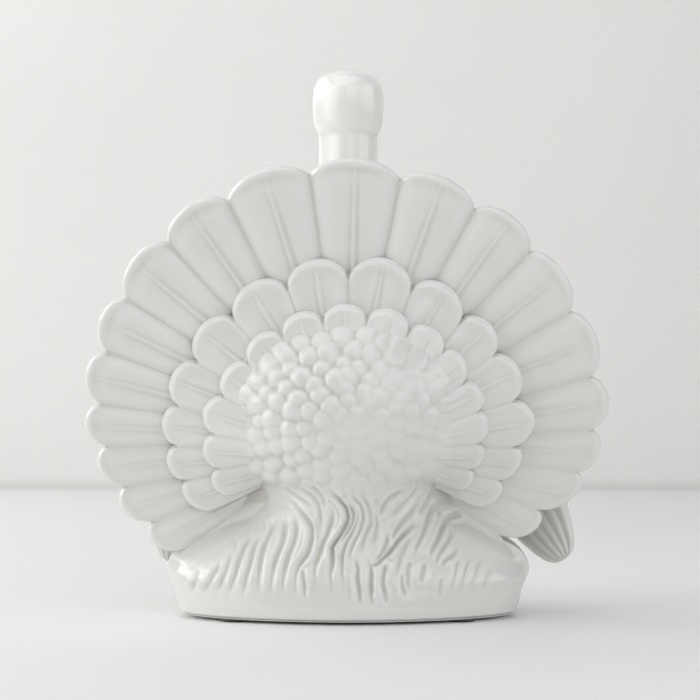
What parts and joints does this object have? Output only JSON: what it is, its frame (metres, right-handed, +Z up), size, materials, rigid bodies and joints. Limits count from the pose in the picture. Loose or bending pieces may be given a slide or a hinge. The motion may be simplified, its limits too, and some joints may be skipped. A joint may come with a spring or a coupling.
{
  "type": "ceramic turkey figure",
  "caption": "White glazed ceramic figure of a strutting turkey with a fanned tail, a rounded foot and felt pads, free-standing on a table.",
  "frame": {"origin": "on the table, under the middle of the figure's box", "axes": "+Z up, the bird faces -Y, its fanned tail faces +Y, and +X is the bird's left"},
  "size_m": [0.2751, 0.1632, 0.2953],
  "materials": {
    "glaze": "glossy white glaze, a little warmer where it pools",
    "felt": "dark felt"
  },
  "bodies": {
    "root": {"plinth": "glaze", "body_shell": "glaze", "tail_fan": "glaze", "rear_coverts_outer": "glaze", "rear_coverts_inner": "glaze", "front_coverts": "glaze", "neck": "glaze", "head": "glaze", "snood": "glaze", "wattle": "glaze", "beard": "glaze", "wing_left": "glaze", "wing_right": "glaze", "foot_pad_front_left": "felt", "foot_pad_front_right": "felt", "foot_pad_rear_left": "felt", "foot_pad_rear_right": "felt"}
  },
  "joints": []
}
